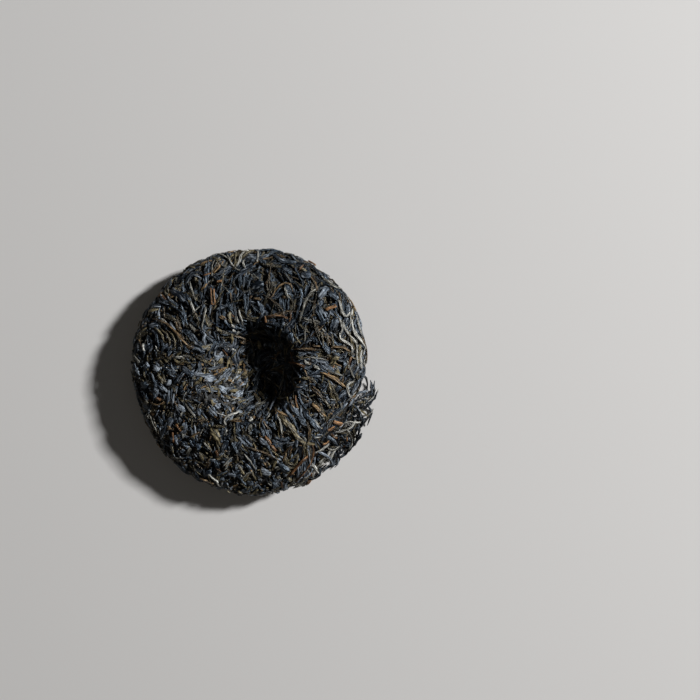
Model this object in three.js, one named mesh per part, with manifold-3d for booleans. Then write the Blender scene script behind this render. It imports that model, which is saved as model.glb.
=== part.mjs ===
// A pressed cake of pu erh tea, lying on its domed face, so that the hollow left by the knot of the
// pressing cloth is on top. Rolled leaves stand in relief all over it, and a bite out of the rim has
// loosened leaves hanging from it.
// Millimetres, +Z up. The origin is the middle of the small flat spot that the cake rests on.

import * as THREE from "three";
import { mergeVertices } from "three/addons/utils/BufferGeometryUtils.js";
import Module from "manifold-3d";

const wasm = await Module();
wasm.setup();

// Driving dimensions
const CAKE_RADIUS = 98;
const CREST_HEIGHT = 29.5;
const CREST_RADIUS = 44;
const WAIST_HEIGHT = 15.5; // where the rim is widest
const REST_RADIUS = 32;
const HOLLOW_DEPTH = 21.5;
const HOLLOW_FLOOR_RADIUS = 12;

// Handles of the cross-section's curves, as shares of the radius or height that they lead to
const BELLY_HANDLE = 0.73;
const WAIST_HANDLES = [0.42, 0.72]; // below and above the waist
const SHOULDER_HANDLE = 0.74;
const LIP_HANDLE = 0.8;
const WALL_HANDLE = 0.62;

// Lobes of the hand-pressed outline: how far each swells as a share of the radius, and where it peaks
const OUTLINE_LOBES = [
  { count: 2, swell: 0.026, peak: THREE.MathUtils.degToRad(86) },
  { count: 3, swell: 0.018, peak: THREE.MathUtils.degToRad(40) },
  { count: 7, swell: 0.005, peak: THREE.MathUtils.degToRad(20) },
];
const OUTLINE_REACH = 0.4; // share of the radius inside which the lobes are not felt
const HOLLOW_STRETCH = 0.08; // the hollow is longer in Y than in X, by this share each way
const HOLLOW_SHIFT = 8; // its floor lies this far towards +X, so that its wall is steeper there
const HOLLOW_ZONE = [0.45, 1.05]; // shares of the crest's radius between which both die away
const HOLLOW_BASE = [0.08, 0.22]; // shares of the cake's height between which both begin
const CREST_SWAY = 0.7; // how far the ring round the hollow rises and falls

// The bite out of the rim, which deepens slowly from one end and stops short at the other
const BITE_START = THREE.MathUtils.degToRad(8);
const BITE_DEEPEST = THREE.MathUtils.degToRad(-49);
const BITE_END = THREE.MathUtils.degToRad(-63);
const BITE_DEPTH = 16;
const BITE_LEDGE = 0.35; // share of that depth at the table: the broken face slants
const BITE_SLANT = [0.2, 0.8]; // shares of the cake's height between which it does
const BITE_REACH = 0.7; // share of the radius inside which the bite is not felt

// Rolled leaves in relief
const LEAF_COUNT = 96;
const LEAF_LENGTH = [20, 42];
const LEAF_WIDTH = [3.6, 6.2];
const LEAF_THICKNESS = 2.8;
const LEAF_STEPS = 4;
const LEAF_SIDES = 4;
const TIP_SHARE = 0.45; // width of a leaf's end against its middle
const UNDERSIDE_SHARE = 0.4; // how thickly the underside is set with them, against the top
const LEAF_STRAY = 0.9; // widest angle between two leaves in one place
const LEAF_BEND = 0.025; // widest difference of their bend, in radians for each millimetre
const TIGHTEST_TURN = 8; // radius inside which a leaf's turn round the axis gets no tighter

// The way leaves lie between the hollow and the rim: swirls round the axis, with their count, their
// growth with the radius, and the most that each turns a leaf
const MEAN_HEADING = 0.9;
const SWIRLS = [
  { count: 3, growth: 0.06, most: 1.1 },
  { count: 5, growth: -0.09, most: 0.7 },
];
const RIM_ZONE = [0.86, 0.97]; // shares of the radius between which they turn to lie along the rim
const FUNNEL_ZONE = [0.5, 1.1]; // shares of the crest's radius inside which they point down the hollow

// Loosened leaves in the bite
const LOOSE_START = THREE.MathUtils.degToRad(-12);
const LOOSE_COUNT = 18;
const LOOSE_HEIGHT = [0.15, 0.62]; // where they leave the broken face, as shares of the cake's height
const LOOSE_REACH = [0.95, 1.08]; // how far out their tips lie, as shares of the cake's radius
const LOOSE_LEAN = 0.75; // widest angle round the cake between two tips from one root
const LOOSE_CURL = 0.2; // share of that lean by which the middle of each is drawn over
const LOOSE_SAG = 0.25; // height of a tip against that of its root
const LOOSE_ROOT = 12; // how much of each stays inside the cake

const CORE_SECTORS = 40;
const CORE_STEPS = 5; // for each curve of the cross-section
const PROFILE_SAMPLES = 240;
const SEED = 357;

const { clamp, lerp, smoothstep } = THREE.MathUtils;

// Repeatable random numbers from 0 to 1
function randomNumbers(seed) {
  let state = seed;
  return () => {
    state = (Math.imul(state, 1664525) + 1013904223) >>> 0;
    return state / 2 ** 32;
  };
}

// Half of the cake's cross-section, from the middle of the underside round the rim to the hollow's floor
function crossSection() {
  const floorHeight = CREST_HEIGHT - HOLLOW_DEPTH;
  return new THREE.Path()
    .moveTo(0, 0)
    .lineTo(REST_RADIUS, 0)
    .bezierCurveTo(
      BELLY_HANDLE * CAKE_RADIUS,
      0,
      CAKE_RADIUS,
      WAIST_HANDLES[0] * WAIST_HEIGHT,
      CAKE_RADIUS,
      WAIST_HEIGHT,
    )
    .bezierCurveTo(
      CAKE_RADIUS,
      lerp(WAIST_HEIGHT, CREST_HEIGHT, WAIST_HANDLES[1]),
      SHOULDER_HANDLE * CAKE_RADIUS,
      CREST_HEIGHT,
      CREST_RADIUS,
      CREST_HEIGHT,
    )
    .bezierCurveTo(
      LIP_HANDLE * CREST_RADIUS,
      CREST_HEIGHT,
      WALL_HANDLE * CREST_RADIUS,
      floorHeight,
      HOLLOW_FLOOR_RADIUS,
      floorHeight,
    )
    .lineTo(0, floorHeight);
}

const section = crossSection();
const sectionLength = section.getLength();
const sectionPoints = section.getSpacedPoints(PROFILE_SAMPLES);

// How deep the bite is at an angle round the cake, from 0 to 1
function biteShare(angle) {
  const turned = Math.atan2(Math.sin(angle), Math.cos(angle));
  return smoothstep(turned, BITE_END, BITE_DEEPEST) * (1 - smoothstep(turned, BITE_DEEPEST, BITE_START));
}

// Where a point of the true round cake lies on the hand-pressed one
function pressed(angle, radius, height) {
  const outward = smoothstep(radius / CAKE_RADIUS, OUTLINE_REACH, 1);
  const overhead = smoothstep(height / CREST_HEIGHT, ...HOLLOW_BASE);
  const inHollow = (1 - smoothstep(radius / CREST_RADIUS, ...HOLLOW_ZONE)) * overhead;
  const aloft = smoothstep(height, WAIST_HEIGHT, CREST_HEIGHT);
  let swell = 0;
  for (const lobe of OUTLINE_LOBES) swell += lobe.swell * Math.cos(lobe.count * (angle - lobe.peak));
  const slant = lerp(BITE_LEDGE, 1, smoothstep(height / CREST_HEIGHT, ...BITE_SLANT));
  const atEdge = smoothstep(radius / CAKE_RADIUS, BITE_REACH, 1);
  const bitten = BITE_DEPTH * biteShare(angle) * slant * atEdge;
  const stretch = -HOLLOW_STRETCH * Math.cos(2 * angle) * inHollow;
  const reach = radius * (1 + swell * outward + stretch) - bitten;
  const sway = CREST_SWAY * Math.sin(2 * angle + 1) * aloft * (1 - inHollow);
  const spot = polar(reach, angle, height + sway);
  spot.x += HOLLOW_SHIFT * inHollow;
  return spot;
}

// A point of the cake's skin: an angle round it, and a distance along its cross-section
function skin(angle, distance) {
  const place = clamp(distance / sectionLength, 0, 1) * PROFILE_SAMPLES;
  const index = Math.min(Math.floor(place), PROFILE_SAMPLES - 1);
  const spot = sectionPoints[index].clone().lerp(sectionPoints[index + 1], place - index);
  return pressed(angle, spot.x, spot.y);
}

function radiusAt(distance) {
  const index = Math.round(clamp(distance / sectionLength, 0, 1) * PROFILE_SAMPLES);
  return sectionPoints[index].x;
}

// The skin's direction outwards, from two short steps along it
function skinNormal(angle, distance) {
  const step = 0.5;
  const turn = step / Math.max(radiusAt(distance), 1);
  const here = skin(angle, distance);
  const round = skin(angle + turn, distance).sub(here);
  const across = skin(angle, distance + step).sub(skin(angle, distance - step));
  return round.cross(across).normalize();
}

// The solid inside a closed geometry
function solidOf(geometry) {
  geometry.deleteAttribute("normal");
  geometry.deleteAttribute("uv");
  const merged = mergeVertices(geometry, 1e-4);
  return new wasm.Manifold(
    new wasm.Mesh({
      numProp: 3,
      vertProperties: merged.getAttribute("position").array,
      triVerts: new Uint32Array(merged.index.array),
    }),
  );
}

// The core: the cross-section turned about the axis, then worked into the hand-pressed outline
function coreSolid() {
  const turned = new THREE.LatheGeometry(section.getPoints(CORE_STEPS), CORE_SECTORS);
  turned.rotateX(Math.PI / 2);
  const places = turned.getAttribute("position");
  for (let i = 0; i < places.count; i++) {
    const spot = new THREE.Vector3().fromBufferAttribute(places, i);
    const radius = Math.hypot(spot.x, spot.y);
    const moved = pressed(Math.atan2(spot.y, spot.x), radius, spot.z);
    places.setXYZ(i, moved.x, moved.y, Math.max(moved.z, 0));
  }
  return solidOf(turned);
}

// A tapered strand of rolled leaf through its stations, each with a point, a forward and an up direction
function strandSolid(stations, width, thickness) {
  const steps = stations.length - 1;
  const strand = new THREE.CylinderGeometry(1, 1, 1, LEAF_SIDES, steps);
  const places = strand.getAttribute("position");
  for (let i = 0; i < places.count; i++) {
    const local = new THREE.Vector3().fromBufferAttribute(places, i);
    const share = local.y + 0.5;
    const { point, forward, up } = stations[Math.round(share * steps)];
    const side = forward.clone().cross(up);
    const taper = lerp(TIP_SHARE, 1, Math.sin(Math.PI * share));
    const moved = point
      .clone()
      .addScaledVector(side, (local.x * taper * width) / 2)
      .addScaledVector(up, (local.z * taper * thickness) / 2);
    places.setXYZ(i, moved.x, moved.y, moved.z);
  }
  return solidOf(strand);
}

// Which way leaves lie: along the rim near it, down the funnel near the hollow, in swirls between them
function heading(angle, distance) {
  const radius = radiusAt(distance);
  let swirl = MEAN_HEADING;
  for (const { count, growth, most } of SWIRLS) swirl += most * Math.sin(count * angle + growth * radius);
  const atRim = smoothstep(radius / CAKE_RADIUS, ...RIM_ZONE);
  const atHollow = 1 - smoothstep(radius / CREST_RADIUS, ...FUNNEL_ZONE);
  return lerp(lerp(swirl, 0, atHollow), Math.PI / 2, atRim);
}

// A leaf pressed into the skin, walked along it from its middle both ways
function pressedLeaf(angle, distance, turn, length, bend) {
  const stride = length / LEAF_STEPS;
  const spots = [];
  for (let i = 0; i <= LEAF_STEPS; i++) {
    const run = (i - LEAF_STEPS / 2) * stride;
    const way = turn + bend * run;
    const along = distance + run * Math.cos(way);
    const reach = Math.max(radiusAt(along), TIGHTEST_TURN);
    spots.push([angle + (run * Math.sin(way)) / reach, along]);
  }
  const points = spots.map(([a, d]) => skin(a, d));
  return spots.map(([a, d], i) => {
    const before = points[Math.max(i - 1, 0)];
    const after = points[Math.min(i + 1, LEAF_STEPS)];
    const forward = after.clone().sub(before).normalize();
    const normal = skinNormal(a, d);
    const up = normal.addScaledVector(forward, -normal.dot(forward)).normalize();
    return { point: points[i], forward, up };
  });
}

// The distance along the cross-section at which a share of the leaves lies behind: they go by the
// skin's area, and are thinner on the ground below the waist
function distanceAtShare(share) {
  const waist = sectionPoints.findIndex((spot) => spot.y >= WAIST_HEIGHT);
  const weights = sectionPoints.map((spot, i) => spot.x * (i < waist ? UNDERSIDE_SHARE : 1));
  const total = weights.reduce((sum, weight) => sum + weight, 0);
  let sum = 0;
  const index = weights.findIndex((weight) => (sum += weight) >= share * total);
  return (index / PROFILE_SAMPLES) * sectionLength;
}

// Leaves spread evenly over the skin by the golden angle, clear of the flat spot underneath
function pressedLeaves() {
  const random = randomNumbers(SEED);
  const goldenTurn = Math.PI * (3 - Math.sqrt(5));
  const leaves = [];
  for (let i = 0; i < LEAF_COUNT; i++) {
    const distance = distanceAtShare((i + 0.5) / LEAF_COUNT);
    const angle = i * goldenTurn;
    const size = random();
    const length = lerp(...LEAF_LENGTH, size * size);
    const width = lerp(...LEAF_WIDTH, random());
    const turn = heading(angle, distance) + (random() - 0.5) * LEAF_STRAY;
    const bend = (random() - 0.5) * LEAF_BEND;
    if (distance < REST_RADIUS + length / 3) continue;
    leaves.push(strandSolid(pressedLeaf(angle, distance, turn, length, bend), width, LEAF_THICKNESS));
  }
  return leaves;
}

// Loosened leaves: rooted in the broken face, fanning outwards and sagging to the table
function looseLeaves() {
  const random = randomNumbers(SEED + 1);
  const leaves = [];
  for (let i = 0; i < LOOSE_COUNT; i++) {
    const angle = lerp(LOOSE_START, BITE_END, (i + 0.5) / LOOSE_COUNT);
    const rootRadius = CAKE_RADIUS - BITE_DEPTH * biteShare(angle) - LOOSE_ROOT;
    const rootHeight = lerp(...LOOSE_HEIGHT, random()) * CREST_HEIGHT;
    const tipRadius = lerp(...LOOSE_REACH, random()) * CAKE_RADIUS;
    const lean = (random() - 0.5) * LOOSE_LEAN;
    const width = lerp(...LEAF_WIDTH, random());
    const tipHeight = Math.max(LOOSE_SAG * rootHeight, LEAF_THICKNESS / 2);
    const sag = new THREE.QuadraticBezierCurve3(
      polar(rootRadius, angle, rootHeight),
      polar(tipRadius, angle + LOOSE_CURL * lean, rootHeight),
      polar(tipRadius, angle + lean, tipHeight),
    );
    leaves.push(strandSolid(saggingStations(sag), width, LEAF_THICKNESS));
  }
  return leaves;
}

function polar(radius, angle, height) {
  return new THREE.Vector3(radius * Math.cos(angle), radius * Math.sin(angle), height);
}

// Stations along a curve in the air, with the strand's flat side kept level across it
function saggingStations(curve) {
  const stations = [];
  for (let i = 0; i <= LEAF_STEPS; i++) {
    const forward = curve.getTangentAt(i / LEAF_STEPS);
    const side = forward.clone().cross(new THREE.Vector3(0, 0, 1)).normalize();
    stations.push({ point: curve.getPointAt(i / LEAF_STEPS), forward, up: side.cross(forward) });
  }
  return stations;
}

// The space above the table
function aboveTable() {
  const side = 4 * CAKE_RADIUS;
  return solidOf(new THREE.BoxGeometry(side, side, side).translate(0, 0, side / 2));
}

// The one whole body, without scraps or sealed pockets
function largestBody(solid) {
  return solid.decompose().reduce((best, body) => (body.volume() > best.volume() ? body : best));
}

function cakeMesh() {
  let whole = coreSolid();
  for (const leaf of [...pressedLeaves(), ...looseLeaves()]) whole = whole.add(leaf);
  const { vertProperties, triVerts } = largestBody(whole.intersect(aboveTable())).getMesh();
  const geometry = new THREE.BufferGeometry()
    .setAttribute("position", new THREE.BufferAttribute(vertProperties, 3))
    .setIndex(new THREE.BufferAttribute(triVerts, 1));
  geometry.computeVertexNormals();
  const driedLeaf = new THREE.MeshStandardMaterial({ color: 0x34322f, roughness: 0.55, metalness: 0 });
  const mesh = new THREE.Mesh(geometry, driedLeaf);
  mesh.name = "tea_cake";
  return mesh;
}

const cake = new THREE.Group();
cake.add(cakeMesh());

export default cake;
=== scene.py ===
# %% [markdown]
# # A pressed cake of pu erh tea
#
# The cake is thousands of rolled, dried leaves that were steamed, wrapped in cloth and pressed into a
# disc. It could be sculpted as one lump with a leafy texture, but a texture casts no shadows, and the
# dark gaps between leaves are most of what the eye sees here. So the leaves are made as real, thin
# solids, and laid on a dark core that has the form of the whole cake.

# %% Load the frame
import math

import bmesh
import bpy
import numpy as np
from mathutils import Matrix, Vector, noise


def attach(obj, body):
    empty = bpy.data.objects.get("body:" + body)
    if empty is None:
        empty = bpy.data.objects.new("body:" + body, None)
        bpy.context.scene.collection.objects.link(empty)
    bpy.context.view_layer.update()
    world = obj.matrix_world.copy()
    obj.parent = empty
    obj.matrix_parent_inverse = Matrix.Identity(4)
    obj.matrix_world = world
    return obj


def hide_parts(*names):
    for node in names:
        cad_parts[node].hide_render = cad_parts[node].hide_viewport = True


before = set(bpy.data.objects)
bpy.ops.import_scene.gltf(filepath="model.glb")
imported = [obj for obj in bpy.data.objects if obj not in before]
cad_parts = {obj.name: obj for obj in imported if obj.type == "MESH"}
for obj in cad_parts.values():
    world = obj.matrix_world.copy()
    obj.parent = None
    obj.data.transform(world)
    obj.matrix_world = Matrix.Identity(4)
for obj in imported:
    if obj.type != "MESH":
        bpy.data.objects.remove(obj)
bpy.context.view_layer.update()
MM = 0.001

# %% [markdown]
# ## The camera
#
# The photograph looks straight down on the cake, which lies left of and below the middle of the
# picture. A camera that isn't turned looks down already, with +Y up in the picture. So its place
# follows from one measured scale, the width that a pixel spans at the height of the cake's rim.

# %% Place the camera
PICTURE_SIDE = 700
PIXEL = 0.82 * MM
CAKE_PIXEL = (250.1, 370.1)
WAIST_HEIGHT = 15.5 * MM
LENS = 50
SENSOR = 36

MIDDLE_PIXEL = PICTURE_SIDE / 2
CAMERA_DROP = PICTURE_SIDE * PIXEL * LENS / SENSOR

camera_data = bpy.data.cameras.new("camera")
camera_data.lens = LENS
camera_data.sensor_width = SENSOR
camera = bpy.data.objects.new("camera", camera_data)
camera.location = (
    (MIDDLE_PIXEL - CAKE_PIXEL[0]) * PIXEL,
    (CAKE_PIXEL[1] - MIDDLE_PIXEL) * PIXEL,
    WAIST_HEIGHT + CAMERA_DROP,
)
bpy.context.scene.collection.objects.link(camera)
bpy.context.scene.camera = camera
print("camera height, m:", round(camera.location.z, 3))


def spot_under(pixel, height):
    """The place at a height above the table that a pixel of the picture looks at."""
    spread = PIXEL * (camera.location.z - height) / CAMERA_DROP
    x = camera.location.x + (np.asarray(pixel)[..., 0] - MIDDLE_PIXEL) * spread
    y = camera.location.y - (np.asarray(pixel)[..., 1] - MIDDLE_PIXEL) * spread
    return x, y


# %% [markdown]
# ## The form of the cake
#
# A cake is round in plan and lens-shaped from the side, with a hollow where the knot of the cloth was.
# Half of that section is drawn once, as curves. A point of the skin then has two numbers: an angle
# round the axis, and a distance along the section. All the leaves are laid out with those two.

# %% Sizes of the cake
CAKE_RADIUS = 98 * MM
CREST_HEIGHT = 29.5 * MM
CREST_RADIUS = 44 * MM
REST_RADIUS = 32 * MM
HOLLOW_DEPTH = 21.5 * MM
HOLLOW_FLOOR_RADIUS = 12 * MM

BELLY_HANDLE = 0.73
WAIST_HANDLES = (0.42, 0.72)
SHOULDER_HANDLE = 0.74
LIP_HANDLE = 0.8
WALL_HANDLE = 0.62
CURVE_POINTS = 80


def mix(low, high, share):
    """The value this share of the way from low to high."""
    return low + (high - low) * share


def smooth(value, low, high):
    """0 below low, 1 above high, and a soft step between them."""
    share = np.clip((value - low) / (high - low), 0, 1)
    return share * share * (3 - 2 * share)


def curve_points(start, handle, other_handle, end):
    """Points of a Bezier curve with two handles."""
    t = np.linspace(0, 1, CURVE_POINTS)[:, None]
    a, b, c, d = (np.array(p) for p in (start, handle, other_handle, end))
    return (1 - t) ** 3 * a + 3 * (1 - t) ** 2 * t * b + 3 * (1 - t) * t**2 * c + t**3 * d


def run_along(points):
    """How far along its line each point is."""
    return np.concatenate([[0], np.cumsum(np.linalg.norm(np.diff(points, axis=0), axis=1))])


# %% Draw half of the cross-section
floor_height = CREST_HEIGHT - HOLLOW_DEPTH
rest_edge = (REST_RADIUS, 0)
waist = (CAKE_RADIUS, WAIST_HEIGHT)
crest = (CREST_RADIUS, CREST_HEIGHT)
floor_edge = (HOLLOW_FLOOR_RADIUS, floor_height)
belly = curve_points(
    rest_edge,
    (BELLY_HANDLE * CAKE_RADIUS, 0),
    (CAKE_RADIUS, WAIST_HANDLES[0] * WAIST_HEIGHT),
    waist,
)
shoulder = curve_points(
    waist,
    (CAKE_RADIUS, mix(WAIST_HEIGHT, CREST_HEIGHT, WAIST_HANDLES[1])),
    (SHOULDER_HANDLE * CAKE_RADIUS, CREST_HEIGHT),
    crest,
)
wall = curve_points(
    crest,
    (LIP_HANDLE * CREST_RADIUS, CREST_HEIGHT),
    (WALL_HANDLE * CREST_RADIUS, floor_height),
    floor_edge,
)
section = np.vstack([[(0, 0)], belly, shoulder[1:], wall[1:], [(0, floor_height)]])
section_run = run_along(section)
section_length = section_run[-1]
waist_run = section_run[len(belly)]
crest_run = section_run[len(belly) + len(shoulder) - 1]
print("section, mm:", round(section_length / MM, 1), "waist at", round(waist_run / MM, 1))

# %% Work the round form into the hand-pressed one
OUTLINE_LOBES = (
    {"count": 2, "swell": 0.026, "peak": math.radians(86)},
    {"count": 3, "swell": 0.018, "peak": math.radians(40)},
    {"count": 7, "swell": 0.005, "peak": math.radians(20)},
)
OUTLINE_REACH = 0.4
HOLLOW_STRETCH = 0.08
HOLLOW_SHIFT = 8 * MM
HOLLOW_ZONE = (0.45, 1.05)
HOLLOW_BASE = (0.08, 0.22)
CREST_SWAY = 0.7 * MM
CREST_SWAY_TURN = 1.0

BITE_START = math.radians(8)
BITE_DEEPEST = math.radians(-49)
BITE_END = math.radians(-63)
BITE_DEPTH = 16 * MM
BITE_LEDGE = 0.35
BITE_SLANT = (0.2, 0.8)
BITE_REACH = 0.7


def bite_share(angle):
    """How deep the bite is at an angle, from 0 to 1."""
    turned = np.arctan2(np.sin(angle), np.cos(angle))
    return smooth(turned, BITE_END, BITE_DEEPEST) * (1 - smooth(turned, BITE_DEEPEST, BITE_START))


def pressed(angle, radius, height):
    """Where a point of the true round cake lies on the hand-pressed one."""
    outward = smooth(radius / CAKE_RADIUS, OUTLINE_REACH, 1)
    overhead = smooth(height / CREST_HEIGHT, *HOLLOW_BASE)
    in_hollow = (1 - smooth(radius / CREST_RADIUS, *HOLLOW_ZONE)) * overhead
    aloft = smooth(height, WAIST_HEIGHT, CREST_HEIGHT)
    lobes = [lobe["swell"] * np.cos(lobe["count"] * (angle - lobe["peak"])) for lobe in OUTLINE_LOBES]
    swell = sum(lobes)
    slant = mix(BITE_LEDGE, 1, smooth(height / CREST_HEIGHT, *BITE_SLANT))
    bitten = BITE_DEPTH * bite_share(angle) * slant * smooth(radius / CAKE_RADIUS, BITE_REACH, 1)
    stretch = -HOLLOW_STRETCH * np.cos(2 * angle) * in_hollow
    reach = radius * (1 + swell * outward + stretch) - bitten
    sway = CREST_SWAY * np.sin(2 * angle + CREST_SWAY_TURN) * aloft * (1 - in_hollow)
    x = reach * np.cos(angle) + HOLLOW_SHIFT * in_hollow
    return np.stack([x, reach * np.sin(angle), height + sway], axis=-1)


def section_radius(distance):
    return np.interp(distance, section_run, section[:, 0])


def skin(angle, distance):
    """The point of the skin at an angle round the axis and a distance along the section."""
    height = np.interp(distance, section_run, section[:, 1])
    return pressed(angle, section_radius(distance), height)


TINY = 1e-12


def unit(vectors):
    return vectors / np.maximum(np.linalg.norm(vectors, axis=-1, keepdims=True), TINY)


FRAME_STEP = 0.4 * MM


def skin_frame(angle, distance):
    """A point of the skin, its directions round the axis and along the section, the way outwards, and
    how far a turn of one radian leads there."""
    turn = FRAME_STEP / np.maximum(section_radius(distance), MM)
    sideways = skin(angle + turn, distance) - skin(angle - turn, distance)
    lengthways = skin(angle, distance + FRAME_STEP) - skin(angle, distance - FRAME_STEP)
    lever = np.linalg.norm(sideways, axis=-1) / (2 * turn)
    round_way, along_way = unit(sideways), unit(lengthways)
    return skin(angle, distance), round_way, along_way, unit(np.cross(round_way, along_way)), lever


# %% [markdown]
# ## The core
#
# Under the leaves that show lie more leaves and fine broken tea, nearly black because no light gets
# down there, so the core is coloured nearly black as painted shade. The core is half of the section
# spun round the axis, sunk a little under the skin, and roughened so that no smooth patch shows
# through a gap.

# %% Spin the core
CORE_SINK = 2.6 * MM
CORE_SECTORS = 220
CORE_RINGS = 150
CORE_ROUGHNESS = 0.9 * MM
CORE_GRAIN = 6 * MM
CORE_CLEARANCE = 0.2 * MM
FRACTAL_FALL = 0.7
FRACTAL_STEP = 2.0
FRACTAL_LAYERS = 4
MERGE_DISTANCE = 0.01 * MM


def core_mesh():
    shape = bmesh.new()
    runs = np.linspace(0, section_length, CORE_RINGS)
    radii = section_radius(runs)
    heights = np.interp(runs, section_run, section[:, 1])
    points = [shape.verts.new((radius, 0, height)) for radius, height in zip(radii, heights)]
    outline = [shape.edges.new(pair) for pair in zip(points, points[1:])]
    bmesh.ops.spin(
        shape,
        geom=points + outline,
        cent=(0, 0, 0),
        axis=(0, 0, 1),
        angle=2 * math.pi,
        steps=CORE_SECTORS,
        use_merge=True,
        use_duplicate=False,
    )
    bmesh.ops.remove_doubles(shape, verts=shape.verts, dist=MERGE_DISTANCE)
    bmesh.ops.recalc_face_normals(shape, faces=shape.faces)
    return shape


def sink_and_roughen(shape):
    """Moves each point of the round core into the hand-pressed form, under the leaves."""
    for point in shape.verts:
        x, y, z = point.co
        point.co = Vector(pressed(math.atan2(y, x), math.hypot(x, y), z))
    shape.normal_update()
    outward = [point.normal.copy() for point in shape.verts]
    for point, normal in zip(shape.verts, outward):
        lump = noise.fractal(point.co / CORE_GRAIN, FRACTAL_FALL, FRACTAL_STEP, FRACTAL_LAYERS)
        point.co -= normal * (CORE_SINK + CORE_ROUGHNESS * lump)
        point.co.z = max(point.co.z, CORE_CLEARANCE)


def new_piece(name, mesh, material):
    """An object of this mesh, riding on the cake's one body."""
    piece = bpy.data.objects.new(name, mesh)
    bpy.context.scene.collection.objects.link(piece)
    mesh.materials.append(material)
    mesh.shade_smooth()
    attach(piece, "root")
    return piece


# %% [markdown]
# ## What a dried leaf looks like
#
# A rolled leaf dries in ridges along its length. Between them it is coloured dark, which is painted
# shade in the grooves, and on their crests it is paler, partly from rubbing and partly as a painted
# highlight; a bluish bloom lies on it in patches. All the leaf materials share that, so it is one
# node group, with the dark, middle and pale colour of each kind of leaf as inputs. The ridges follow
# the leaf's own UV map, across and along, and the tone of a leaf says how pale it is as a whole,
# with painted light and shade at some places of the cake.

# %% Helpers for shader nodes


def add_node(tree, kind, inputs=None, **settings):
    """A node with its settings, its inputs set to values or linked to sockets."""
    made = tree.nodes.new(kind)
    for name, value in settings.items():
        setattr(made, name, value)
    for name, value in (inputs or {}).items():
        if isinstance(value, bpy.types.NodeSocket):
            tree.links.new(value, made.inputs[name])
        else:
            made.inputs[name].default_value = value
    return made


def calculate(tree, operation, first, second, clamp=False):
    made = add_node(tree, "ShaderNodeMath", {0: first, 1: second}, operation=operation, use_clamp=clamp)
    return made.outputs[0]


def rescaled(tree, value, low, high, new_low=0.0, new_high=1.0):
    """The value, with its span from low to high brought to the new one and held inside it."""
    inputs = {"Value": value, "From Min": low, "From Max": high, "To Min": new_low, "To Max": new_high}
    return add_node(tree, "ShaderNodeMapRange", inputs).outputs[0]


def noise_texture(tree, place, scale=1.0, detail=2.0, roughness=0.5):
    inputs = {"Vector": place, "Scale": scale, "Detail": detail, "Roughness": roughness}
    return add_node(tree, "ShaderNodeTexNoise", inputs).outputs["Fac"]


def blend_colours(tree, share, first, second):
    """A Mix node has sockets for every type of data: its inputs 6 and 7 and output 2 are colours."""
    made = add_node(tree, "ShaderNodeMix", {0: share, 6: first, 7: second}, data_type="RGBA")
    return made.outputs[2]


# %% The shared look of a dried leaf
RIDGES_ACROSS = 4.2
RIDGES_ALONG = 0.6
FIBRES_ACROSS = 13.0
FIBRE_HEIGHT = 0.4
FIBRE_ZONE = (0.3, 0.7)
LEAF_ROUGHNESS = (0.22, 0.48)
PATCH_SCALE = 160.0
LEAF_SHIFT = 71.0

# RAISED_ZONE sets where the grooves take painted shade; CREST_ZONE and the crest wear set the paler
# crests, partly wear and partly painted highlight.
RAISED_ZONE = (0.41, 0.6)
CREST_ZONE = (0.54, 0.7)
LEAST_TONE = 0.15
CREST_WEAR_AND_HIGHLIGHT = 1.8
PALE_STEEPNESS = 3.0
PALE_SHARE = 0.8
BLOOM_ZONE = (0.52, 0.75)
BLOOM_COLOUR = (0.04, 0.06, 0.095, 1)


def texture_place(tree, across, along, own_layer):
    return add_node(tree, "ShaderNodeCombineXYZ", {0: across, 1: along, 2: own_layer}).outputs[0]


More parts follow.
